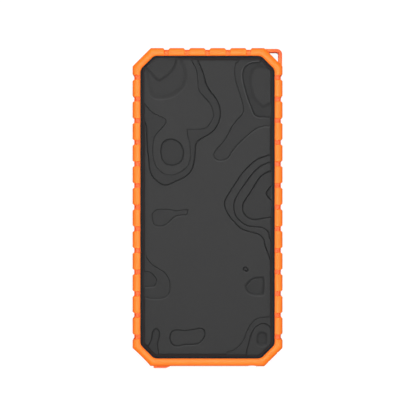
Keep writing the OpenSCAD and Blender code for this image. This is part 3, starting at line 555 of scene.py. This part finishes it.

# Each contour with the steps that its inside goes down, the width of its slope, the depth of the
# groove at the slope's foot, the height of the ridge outside it, how strong the painted highlight on
# its lower rim is, and how much painted shade darkens its inside. Lines that leave the face close
# outside it.
CONTOURS = [
    (NORTHWEST_1, 1, 1.8, 0.02, 0, 0, 0), (NORTHWEST_2, 1, 2.8, 0.01, 0, 0.35, 0.35),
    (NORTHWEST_3, 1, 0.6, 0.03, 0, 0, -0.55), (NORTHWEST_4, 1, 0.5, 0.17, 0, 0, 0.5),
    (WEST_RING, 1, 0.7, 0.11, 0, 0, 0.6), (NORTHEAST_1, 1, 0.6, 0.04, 0, 0.5, 0.35),
    (NORTHEAST_2, 1, 0.6, 0.07, 0.08, 0, 0.9), (NORTHEAST_ISLAND, -1, 2.6, 0, 0, 0, -1),
    (EAST_1, 1, 0.5, 0.18, 0, 0.12, 0.15), (EAST_2, 1, 0.5, 0.18, 0, 0.12, 0.05),
    (EAST_3, 1, 0.5, 0.18, 0, 0.15, 0.1), (EAST_4, 1, 0.5, 0.18, 0, 0.2, 0.6),
    (WHISTLE, 1, 0.5, 0.04, 0, 0.25, 0.3), (DOT, 1, 0.4, 0.2, 0, 0.2, 0.8),
    (SOUTH_D, 1, 1.3, 0.03, 0, 0.35, 0.6), (SOUTHWEST_1, 1, 0.5, 0.03, 0, 0.45, 0.3),
    (SOUTHWEST_2, 1, 0.5, 0.03, 0, 0.5, 0.4), (FINGER, 1, 0.5, 0.12, 0, 0, 0.6),
    (PILL, 1, 0.5, 0.17, 0, 0.25, 0), (SOUTHEAST_1, 1, 0.6, 0.05, 0, 0, 0.2),
    (SOUTHEAST_2, 1, 0.5, 0.16, 0, 0, 0), (SOUTHEAST_3, 1, 1.6, 0.01, 0, 0.25, 0.7)]
CONTOUR_STEPS = 5                     # points of the smooth curve for each point of a contour
CLIP_INSET = 4.2                      # contours end here, under the lip
FACE_EDGE = 6.7                       # inset where the bevel rounds into the face
FACE_RADIUS = 2.6                     # round corners of the bevel
RIM_GAP, RIM_HALF_W = 0.35, 0.5       # from a slope's upper edge to its rim, and half the rim
CREASE_FOR_DEPTH, HIGHLIGHT_FOR_HEIGHT = 2.3, 8    # painted shade for each millimetre of groove, and painted highlight for each of ridge


def smooth_loop(points):
    """Closed smooth curve through the points, anticlockwise."""
    p = np.array(points, float)
    a, c, d = np.roll(p, 1, 0), np.roll(p, -1, 0), np.roll(p, -2, 0)
    rows = []
    for step in range(CONTOUR_STEPS):
        t = step / CONTOUR_STEPS
        rows.append((2 * p + (c - a) * t + (2 * a - 5 * p + 4 * c - d) * t * t
                     + (3 * p - a - 3 * c + d) * t ** 3) / 2)
    loop = np.stack(rows, 1).reshape(-1, 2)
    after = np.roll(loop, -1, 0)
    area = (loop[:, 0] * after[:, 1] - after[:, 0] * loop[:, 1]).sum()
    return loop if area > 0 else loop[::-1]


def moved_out(loop, distance):
    """The loop with each point moved outwards by the distance."""
    along = np.roll(loop, -1, 0) - np.roll(loop, 1, 0)
    along /= np.linalg.norm(along, axis=1)[:, None]
    return loop + distance * np.stack([along[:, 1], -along[:, 0]], 1)


def signed_distance(points, loop):
    """Distance from each point to the loop, below zero inside it."""
    a, b = loop, np.roll(loop, -1, 0)
    run = b - a
    result = np.empty(len(points))
    for start in range(0, len(points), 4000):
        p = points[start:start + 4000]
        rel = p[:, None] - a[None]
        t = np.clip((rel * run).sum(2) / (run * run).sum(1), 0, 1)
        distance = np.sqrt(((rel - t[..., None] * run) ** 2).sum(2)).min(1)
        y = p[:, 1][:, None]
        crosses = (a[:, 1] > y) != (b[:, 1] > y)
        rise = np.where(run[:, 1] == 0, 1, run[:, 1])
        at = a[:, 0] + (y - a[:, 1]) / rise * run[:, 0]
        inside = (crosses & (p[:, 0][:, None] < at)).sum(1) % 2 == 1
        result[start:start + 4000] = np.where(inside, -distance, distance)
    return result


def octagon(inset, corner_steps, radius):
    """Points round the outline at an inset, with one at each corner if it has no steps."""
    points = []
    for side in range(8):
        for i in range(corner_steps + 1):
            share = i / corner_steps if corner_steps else 0.5
            points.append(corner_point(side, share, inset, radius))
    return np.array(points)


def clipped_runs(loop):
    """The loop's edges that lie on the face, as pairs of points, cut off outside the bevel."""
    inset = inset_of(loop)
    runs = []
    for i, p in enumerate(loop):
        j = (i + 1) % len(loop)
        q, inset_p, inset_q = loop[j], inset[i], inset[j]
        if inset_p < CLIP_INSET and inset_q < CLIP_INSET:
            continue
        if inset_p < CLIP_INSET or inset_q < CLIP_INSET:
            cut = p + (q - p) * (inset_p - CLIP_INSET) / (inset_p - inset_q)
            p, q = (cut, q) if inset_p < CLIP_INSET else (p, cut)
        runs.append((p, q))
    return runs


def lower_rim(points, loop, gap, middle):
    """Mask for a painted highlight: 1 on a narrow line outside the loop where the loop's outside faces -Y,
    fading to 0 round it.
    """
    line = smoothstep(1 - np.abs(gap - middle) / RIM_HALF_W)
    near = line > 0
    step = np.array([0, 0.1])
    slope = (signed_distance(points[near] + step, loop)
             - signed_distance(points[near] - step, loop)) / 0.2
    line[near] *= np.clip(-slope, 0, 1) ** 2
    return line


def face_form(points, loops):
    """Height of the front face over each point in plan, and the numbers that its painted shade and
    highlights go by.
    """
    inset = inset_of(points)
    drop = np.zeros(len(points))
    crease_shade = np.zeros(len(points))
    relief_shade = np.zeros(len(points))
    rim_highlight = np.zeros(len(points))
    for loop, sign, width, groove, ridge, lit, dark in loops:
        gap = signed_distance(points, loop)
        inside = smoothstep(0.5 - gap / width)
        foot = smoothstep(1 - np.abs(gap + width / 2) / GROOVE_W)
        rim = smoothstep(1 - np.abs(gap - width / 2 - RIM_GAP) / RIM_HALF_W)
        drop += sign * RELIEF_STEP * inside + groove * foot - ridge * rim
        line = smoothstep(1.25 - np.abs(gap + width / 4) / (width / 2 + 0.2))
        # Painted shade: a dark line along each step's groove, stronger for deeper grooves.
        crease_shade = np.maximum(crease_shade, line * min(1, CREASE_FOR_DEPTH * groove))
        # Painted highlight: on the rim beside a ridge, and on the lower rim of some steps.
        rim_highlight = np.maximum(rim_highlight, rim * min(1, HIGHLIGHT_FOR_HEIGHT * ridge))
        if lit:
            rim_highlight = np.maximum(rim_highlight, lit * lower_rim(points, loop, gap, width / 2 + RIM_GAP))
        # Painted shade: the inside of each contour darker, or lighter where it goes back up.
        relief_shade += dark * inside
    relief = PLATEAU - drop
    bevel = SHELL_TOP + np.maximum(inset - BEVEL_BASE, 0) * BEVEL_SLOPE
    blend = 0.3
    overlap = np.maximum(blend - np.abs(relief - bevel), 0) / blend
    height = np.maximum(np.minimum(relief, bevel) - overlap ** 2 * blend / 4, SHELL_TOP)
    on_face = smoothstep((inset - FACE_EDGE) / 0.3)
    # Painted shade: a little darker towards the face's edge and up the bevel; painted highlight: paler at
    # the bevel's foot.
    edge = 0.2 * smoothstep((FACE_EDGE + 3.3 - inset) / 3)
    on_bevel = smoothstep((inset - BEVEL_BASE + 0.1) / 0.3) * (1 - on_face)
    up_bevel = smoothstep((inset - BEVEL_BASE - 0.2) / 1.0)
    # Painted shade: a dark bluish band in the gap under the bumper's lip.
    gap_shade = 0.9 * smoothstep((BEVEL_BASE + 0.1 - inset) / 0.3)
    return height, {"crease_shade": crease_shade * on_face,
                    "relief_shade": np.clip(relief_shade + edge, 0, 1) * on_face + 0.85 * up_bevel * on_bevel,
                    "rim_highlight": rim_highlight * on_face + 0.4 * (1 - up_bevel) * on_bevel, "gap_shade": gap_shade}


def face_mesh():
    """The front face from its rim inwards: its points in space, triangles, and numbers for the paint."""
    loops = [(smooth_loop(points), *facts) for points, *facts in CONTOURS]
    runs = []
    insets = (5.1, 5.2, BEVEL_BASE, 5.4, 5.55, 5.75, 5.95, 6.15, 6.35, 6.5, 6.6, FACE_EDGE, 6.8, 6.9,
              7.0, 7.12, 7.25, 7.4)
    for ring in [octagon(WALL, 0, 0)] + [octagon(inset, 5, FACE_RADIUS) for inset in insets]:
        runs += list(zip(ring, np.roll(ring, -1, 0)))
    for loop, _, width, groove, ridge, lit, _ in loops:
        half = width / 2
        offsets = [share * half for share in (-1, -0.6, -0.2, 0.2, 0.6, 1)]
        offsets += [-half - GROOVE_W * share for share in (0.35, 0.7, 1.02, 1.3)]
        offsets += [half + value for value in
                    ((0.2, 0.35, 0.5, 0.7, 0.87, 1) if ridge or lit else (0.02, 0.1))]
        for offset in offsets:
            runs += clipped_runs(moved_out(loop, offset))
    index, plan, edges = {}, [], []
    for p, q in runs:
        pair = []
        for point in (p, q):
            key = (round(float(point[0]), 4), round(float(point[1]), 4))
            if key not in index:
                index[key] = len(plan)
                plan.append(Vector(key))
            pair.append(index[key])
        if pair[0] != pair[1]:
            edges.append(pair)
    plan, _, triangles = geometry.delaunay_2d_cdt(plan, edges, [], 0, 1e-4, False)[:3]
    flat = np.array([tuple(p) for p in plan])
    heights, paint = face_form(flat, loops)
    return [(x, y, z) for (x, y), z in zip(flat, heights)], triangles, paint


def make_front_shell(material):
    """The front shell: its walls from the CAD node, and a front face with rounded relief."""
    work = bmesh.new()
    work.from_mesh(NODES["front_shell"].data)
    bmesh.ops.remove_doubles(work, verts=work.verts, dist=0.002 * MM)
    rim = (SHELL_TOP - 0.01) * MM
    bmesh.ops.delete(work, context="FACES",
                     geom=[f for f in work.faces if all(v.co.z > rim for v in f.verts)])
    points, triangles, paint = face_mesh()
    for layer_name in paint:
        work.verts.layers.float.new(layer_name)
    verts = [work.verts.new(Vector(p) * MM) for p in points]
    for layer_name, values in paint.items():
        layer = work.verts.layers.float[layer_name]
        for vert, value in zip(verts, values):
            vert[layer] = value
    for corner in triangles:
        work.faces.new([verts[i] for i in corner])
    bmesh.ops.remove_doubles(work, verts=work.verts, dist=0.004 * MM)
    bmesh.ops.delete(work, context="VERTS", geom=[v for v in work.verts if not v.link_faces])
    mesh = bpy.data.meshes.new("front_shell_body")
    work.to_mesh(mesh)
    work.free()
    finish_normals(mesh, 40)
    mesh.materials.append(material)
    shell = make_object("front_shell_body", mesh)
    shell.modifiers.new("normals", "WEIGHTED_NORMAL").keep_sharp = True
    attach(shell, "case")
    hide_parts("front_shell")


# ---------------------------------------------------------------- the other parts
# How much the edges of each CAD node that is seen are rounded, in millimetres
EDGES = {"rear_cover": 0.25, "cover_screws": 0.12, "port_flap": 0.35, "flap_seal": 0.2,
         "flap_anchor": 0.3, "power_button": 0.3, "light_guide": 0.2, "usb_a_tongue_left": 0.12,
         "usb_a_tongue_right": 0.12, "usb_a_shell_left": 0.08, "usb_a_shell_right": 0.08,
         "usb_c_shell": 0.08, "usb_c_tongue": 0.08}


def soften_node(name, width):
    """Rounds a CAD node's edges and smooths it."""
    piece = NODES[name]
    weld = piece.modifiers.new("weld", "WELD")
    weld.merge_threshold = 0.003 * MM
    flat = piece.modifiers.new("flat faces", "DECIMATE")
    flat.decimate_type = "DISSOLVE"
    flat.angle_limit = math.radians(0.5)
    bevel = piece.modifiers.new("edges", "BEVEL")
    bevel.width = width * MM
    bevel.segments = 3
    bevel.limit_method = "ANGLE"
    bevel.angle_limit = math.radians(30)
    bevel.miter_outer = "MITER_ARC"
    piece.modifiers.new("normals", "WEIGHTED_NORMAL")
    for polygon in piece.data.polygons:
        polygon.use_smooth = True


def make_web(material):
    """The thin bridge that bends when the flap opens, from the anchor to the flap."""
    reach = 0.8                       # how far it goes into the flap and the anchor
    steps = 24
    x0, x1 = WEB_LOW.x - reach, WEB_HIGH.x + reach
    middle_y = (WEB_LOW.y + WEB_HIGH.y) / 2
    thick, tall = WEB_HIGH.y - WEB_LOW.y, WEB_HIGH.z - WEB_LOW.z
    section = rounded_rect(thick, tall, thick * 0.35, 4)
    loops = [[(x0 + (x1 - x0) * i / steps, middle_y + u, MID_Z + v) for u, v in section]
             for i in range(steps + 1)]
    web = loft("hinge_web", loops)
    web.data.materials.append(material)
    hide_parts("flap_hinge_web")
    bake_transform(web, "case", "flap", (WEB_HIGH.x * MM, middle_y * MM, MID_Z * MM),
             (WEB_LOW.x * MM, middle_y * MM, MID_Z * MM))


# ---------------------------------------------------------------- materials
def srgb(red, green, blue):
    """Linear colour from screen values of 0 to 255."""
    def linear(value):
        value /= 255
        return value / 12.92 if value <= 0.04045 else ((value + 0.055) / 1.055) ** 2.4
    return (linear(red), linear(green), linear(blue), 1)


class Surface:
    """A material under construction: a shader, and textures fixed to the piece, sized in millimetres."""

    def __init__(self, name, **sockets):
        self.material = bpy.data.materials.new(name)
        self.material.use_nodes = True
        self.tree = self.material.node_tree
        self.shader = self.tree.nodes["Principled BSDF"]
        self.place = self.tree.nodes.new("ShaderNodeTexCoord").outputs["Object"]
        for socket, value in sockets.items():
            self.shader.inputs[socket.replace("_", " ")].default_value = value

    def node(self, kind, **inputs):
        made = self.tree.nodes.new(kind)
        for socket, value in inputs.items():
            if hasattr(made, socket):
                setattr(made, socket, value)
            else:
                self.feed(made.inputs[socket.replace("_", " ")], value)
        return made

    def feed(self, socket, value):
        if isinstance(value, bpy.types.NodeSocket):
            self.tree.links.new(value, socket)
        else:
            socket.default_value = value

    def stretched(self, scale):
        """The piece's own coordinates, scaled along each axis."""
        return self.node("ShaderNodeMapping", Vector=self.place, Scale=scale).outputs[0]

    def noise(self, size, detail=2.0, rough=0.5, place=None):
        """Cloudy pattern whose blobs are about size across."""
        return self.node("ShaderNodeTexNoise", Vector=place or self.place, Scale=1 / (size * MM),
                         Detail=detail, Roughness=rough).outputs[0]

    def cells(self, size):
        """Pattern of round cells about size across."""
        return self.node("ShaderNodeTexVoronoi", Vector=self.place, Scale=1 / (size * MM)).outputs[0]

    def painted(self, name):
        """Number that the mesh carries at each point."""
        return self.node("ShaderNodeAttribute", attribute_name=name).outputs["Fac"]

    def spread(self, value, low, high, start=0.3, stop=0.7):
        """The value's stretch from start to stop, spread over low to high."""
        return self.node("ShaderNodeMapRange", Value=value, From_Min=start, From_Max=stop,
                         To_Min=low, To_Max=high).outputs[0]

    def blend(self, factor, first, second):
        mix = self.tree.nodes.new("ShaderNodeMix")
        mix.data_type = "RGBA"
        self.feed(mix.inputs[0], factor)
        self.feed(mix.inputs[6], first)
        self.feed(mix.inputs[7], second)
        return mix.outputs[2]

    def bump(self, *layers):
        """Adds relief from (pattern, height) layers, coarse to fine."""
        normal = None
        for pattern, height in layers:
            made = self.node("ShaderNodeBump", Height=pattern, Distance=height * MM, Strength=1.0)
            if normal is not None:
                self.feed(made.inputs["Normal"], normal)
            normal = made.outputs[0]
        self.feed(self.shader.inputs["Normal"], normal)
        return self

    def colour(self, value):
        self.feed(self.shader.inputs["Base Color"], value)
        return self

    def rough(self, value):
        self.feed(self.shader.inputs["Roughness"], value)
        return self


def rubber(name, dark, light):
    """Matte rubber with a fine grain."""
    look = Surface(name, Specular_IOR_Level=0.36)
    look.colour(look.blend(look.noise(3, 3), dark, light))
    look.rough(look.spread(look.noise(1.2, 3), 0.46, 0.54))
    return look.bump((look.noise(0.35, 3, 0.6), 0.008)).material


def bumper_rubber(name):
    """Orange rubber with painted shade: deeper in its channels and on its loop, and dark on the walls of the
    loop's hole.
    """
    look = Surface(name, Specular_IOR_Level=0.3)
    plain = look.blend(look.noise(3, 3), (0.90, 0.151, 0.005, 1), (0.96, 0.176, 0.008, 1))
    # Painted shade in the channels and on the loop.
    recess_shaded = look.blend(look.painted("sunk"), plain, (0.92, 0.110, 0.009, 1))
    look.colour(look.blend(look.painted("shade"), recess_shaded, (0.16, 0.03, 0.004, 1)))
    look.rough(look.spread(look.noise(1.2, 3), 0.46, 0.54))
    return look.bump((look.noise(0.35, 3, 0.6), 0.008)).material


def moulded(name, dark, light, rough=(0.5, 0.62), grain=0.3, depth=0.012):
    """Moulded plastic with a fine even grain."""
    look = Surface(name)
    look.colour(look.blend(look.spread(look.noise(11, 3), 0, 1), dark, light))
    look.rough(look.spread(look.noise(2, 3), *rough))
    return look.bump((look.cells(grain), depth), (look.noise(grain * 0.6, 2), depth * 0.6)).material


def shell_plastic(name):
    """Dark moulded plastic with painted shade in its pits, creases and bevel, painted highlights on some
    rims and at the bevel's foot, and a painted dark band, less glossy, in the gap under the lip.
    """
    look = Surface(name, Specular_IOR_Level=0.1)
    plain = look.blend(look.noise(1.4, 2), (0.0152, 0.0153, 0.0154, 1), (0.0172, 0.0173, 0.0174, 1))
    # Painted shade: darker inside the pits, near the face's edge and up the bevel.
    pits = look.blend(look.spread(look.painted("relief_shade"), 0, 1, 0, 1), plain, (0.0108, 0.0110, 0.0113, 1))
    # Painted highlight on the rims of some steps and at the bevel's foot.
    rim_highlight = look.blend(look.spread(look.painted("rim_highlight"), 0, 1, 0, 1), pits, (0.044, 0.044, 0.045, 1))
    # Painted shade along the steps' grooves.
    lines = look.blend(look.spread(look.painted("crease_shade"), 0, 0.85, 0, 1), rim_highlight, (0.004, 0.0045, 0.005, 1))
    # Painted shade in the gap under the lip, which is also made less glossy there.
    look.colour(look.blend(look.painted("gap_shade"), lines, (0.002, 0.013, 0.021, 1)))
    look.feed(look.shader.inputs["Specular IOR Level"], look.spread(look.painted("gap_shade"), 0.1, 0.02, 0, 1))
    look.rough(look.spread(look.noise(0.8, 2), 0.42, 0.48))
    return look.bump((look.cells(0.3), 0.006), (look.noise(0.18, 2), 0.004)).material


def metal(name, dark, light, rough=(0.25, 0.4)):
    """Metal with faint lines along one direction."""
    look = Surface(name, Metallic=1.0)
    lines = look.noise(1.6, 3, 0.6, look.stretched((1, 14, 1)))
    look.colour(look.blend(look.spread(lines, 0, 1), dark, light))
    look.rough(look.spread(lines, *rough))
    return look.bump((lines, 0.004)).material


def board(name):
    """Green solder mask over faint copper tracks."""
    look = Surface(name, Coat_Weight=0.3, Coat_Roughness=0.2)
    tracks = look.node("ShaderNodeTexBrick", Vector=look.place, Scale=700.0).outputs[1]
    look.colour(look.blend(tracks, srgb(24, 92, 52), srgb(44, 120, 66)))
    look.rough(look.spread(look.noise(3, 2), 0.3, 0.42))
    return look.bump((tracks, 0.02)).material


def soft_sheet(name, dark, light, cell):
    """Foam or woven tape."""
    look = Surface(name, Sheen_Weight=0.3)
    look.colour(look.blend(look.cells(cell), dark, light))
    look.rough(look.spread(look.noise(2, 2), 0.8, 0.95))
    return look.bump((look.cells(cell), 0.08)).material


def clear(name):
    """Clear moulding, slightly milky."""
    look = Surface(name, Transmission_Weight=0.55, IOR=1.49)
    look.colour(look.blend(look.noise(4, 2), srgb(226, 230, 232), srgb(244, 246, 246)))
    look.rough(look.spread(look.noise(1.5, 2), 0.16, 0.26))
    return look.bump((look.noise(2.5, 2), 0.02)).material


def pouch_foil(name):
    """Soft silver foil with shallow creases."""
    look = Surface(name, Metallic=0.9)
    creases = look.noise(9, 5, 0.6)
    look.colour(look.blend(look.spread(creases, 0, 1), srgb(196, 199, 203), srgb(222, 224, 226)))
    look.rough(look.spread(look.noise(3, 3), 0.36, 0.5))
    return look.bump((creases, 0.3), (look.noise(0.5, 2), 0.01)).material


def wires(name):
    """Red on one side of the middle and black on the other."""
    look = Surface(name)
    split = look.node("ShaderNodeSeparateXYZ", Vector=look.place).outputs[0]
    side = look.node("ShaderNodeMapRange", Value=split, From_Min=-0.0001, From_Max=0.0001).outputs[0]
    look.colour(look.blend(side, srgb(24, 24, 26), srgb(186, 26, 26)))
    look.rough(look.spread(look.noise(1.5, 2), 0.35, 0.5))
    return look.bump((look.noise(0.6, 2), 0.01)).material


MATERIALS = {
    "bumper_rubber": bumper_rubber("bumper rubber"),
    "flap_rubber": rubber("flap rubber", (0.88, 0.120, 0.004, 1), (0.94, 0.143, 0.008, 1)),
    "case_plastic": shell_plastic("case plastic"),
    "seal_rubber": rubber("seal rubber", srgb(60, 60, 62), srgb(72, 72, 74)),
    "steel": metal("steel", srgb(176, 178, 182), srgb(204, 206, 208)),
    "socket_metal": metal("socket metal", srgb(190, 191, 194), srgb(214, 215, 218), (0.2, 0.34)),
    "brass": metal("brass", srgb(196, 150, 70), srgb(222, 178, 96)),
    "circuit_board": board("circuit board"),
    "chip_black": moulded("chip black", srgb(30, 30, 32), srgb(40, 40, 42)),
    "led_white": moulded("lamp body", srgb(236, 234, 214), srgb(246, 244, 230), (0.25, 0.35)),
    "clear_plastic": clear("clear plastic"),
    "tongue_white": moulded("white moulding", srgb(222, 222, 218), srgb(236, 236, 232)),
    "contact_gold": metal("gold plating", srgb(222, 176, 92), srgb(240, 200, 116), (0.2, 0.3)),
    "ferrite": moulded("ferrite", srgb(62, 62, 66), srgb(76, 76, 80), (0.55, 0.7), 0.6, 0.03),
    "capacitor_metal": metal("capacitor metal", srgb(196, 196, 200), srgb(220, 220, 222)),
    "cell_foil": pouch_foil("pouch foil"),
    "tape": soft_sheet("tape", srgb(226, 222, 204), srgb(240, 237, 222), 0.8),
    "foam": soft_sheet("foam", srgb(36, 36, 38), srgb(60, 60, 62), 1.1),
    "polyimide": moulded("amber film", srgb(196, 116, 30), srgb(222, 142, 44), (0.22, 0.34), 2, 0.01),
    "wire_insulation": wires("wire insulation"),
}


def paint_nodes():
    """Gives each CAD node the material of its slot in the record."""
    for part in frame["record"]["subparts"]:
        piece = NODES[part["node"]]
        piece.data.materials.clear()
        piece.data.materials.append(MATERIALS[part["material_slot"]])


# ---------------------------------------------------------------- light, floor and camera
FRAME_WIDTH = 229.08                  # what the camera takes in at the front face
AIM = Vector((1.35, -1.55, TOP))      # the middle of the picture
LENS, SENSOR = 200.0, 36.0


def soft_light(name, place, size, power):
    """Rectangular lamp that shines on the bank."""
    data = bpy.data.lights.new(name, "AREA")
    data.shape = "RECTANGLE"
    data.size, data.size_y = size
    data.energy = power
    light = bpy.data.objects.new(name, data)
    bpy.context.scene.collection.objects.link(light)
    light.location = place
    towards_bank = Vector() - Vector(place)
    light.rotation_euler = towards_bank.to_track_quat("-Z", "Y").to_euler()


def set_stage():
    """The pale floor and the lights."""
    half, z = 3.0, -0.02 * MM         # metres, and just under the bank
    mesh = bpy.data.meshes.new("floor")
    mesh.from_pydata([(-half, -half, z), (half, -half, z), (half, half, z), (-half, half, z)], [],
                     [(0, 1, 2, 3)])
    look = Surface("floor", Specular_IOR_Level=0.2, Emission_Color=(1, 1, 1, 1), Emission_Strength=0.88)
    look.colour(look.blend(look.noise(300, 2), (0.11, 0.11, 0.11, 1), (0.13, 0.13, 0.13, 1)))
    look.rough(look.spread(look.noise(200, 2), 0.8, 0.9))
    mesh.materials.append(look.material)
    floor = make_object("floor", mesh)
    floor.visible_diffuse = False
    floor.visible_glossy = False

    set_sky()
    soft_light("main softbox", (0, 0.12, 1.5), (0.6, 0.6), 16.5)
    for name, place, power in (("left", (-1.1, 0, 0.6), 5.5), ("right", (1.1, 0, 0.6), 5.5),
                               ("port", (0, -1.1, 0.6), 4.5), ("loop", (0, 1.1, 0.6), 7)):
        soft_light(name + " fill", place, (0.9, 0.5), power)


def set_sky():
    """Even light from above that fades out below the horizon."""
    world = bpy.data.worlds.new("studio")
    world.use_nodes = True
    tree = world.node_tree
    place = tree.nodes.new("ShaderNodeTexCoord")
    split = tree.nodes.new("ShaderNodeSeparateXYZ")
    fade = tree.nodes.new("ShaderNodeMapRange")
    tree.links.new(place.outputs["Generated"], split.inputs[0])
    tree.links.new(split.outputs["Z"], fade.inputs["Value"])
    fade.inputs["From Min"].default_value, fade.inputs["From Max"].default_value = -0.1, 0.6
    fade.inputs["To Min"].default_value, fade.inputs["To Max"].default_value = 0.12, 0.36
    tree.links.new(fade.outputs["Result"], tree.nodes["Background"].inputs["Strength"])
    tree.nodes["Background"].inputs["Color"].default_value = (1, 1, 1, 1)
    bpy.context.scene.world = world


def set_camera():
    """Camera that looks straight down at the front face from far off."""
    data = bpy.data.cameras.new("camera")
    data.lens = LENS
    data.sensor_width = SENSOR
    distance = FRAME_WIDTH * LENS / SENSOR
    camera = bpy.data.objects.new("camera", data)
    camera.location = (AIM + Vector((0, 0, distance))) * MM
    data.clip_start, data.clip_end = 0.1, 10
    bpy.context.scene.collection.objects.link(camera)
    bpy.context.scene.camera = camera


# ---------------------------------------------------------------- build
paint_nodes()
make_bumper(MATERIALS["bumper_rubber"])
make_front_shell(MATERIALS["case_plastic"])
make_web(MATERIALS["flap_rubber"])
for node_name, edge in EDGES.items():
    soften_node(node_name, edge)
set_stage()
set_camera()
bpy.context.scene.view_settings.view_transform = "Standard"
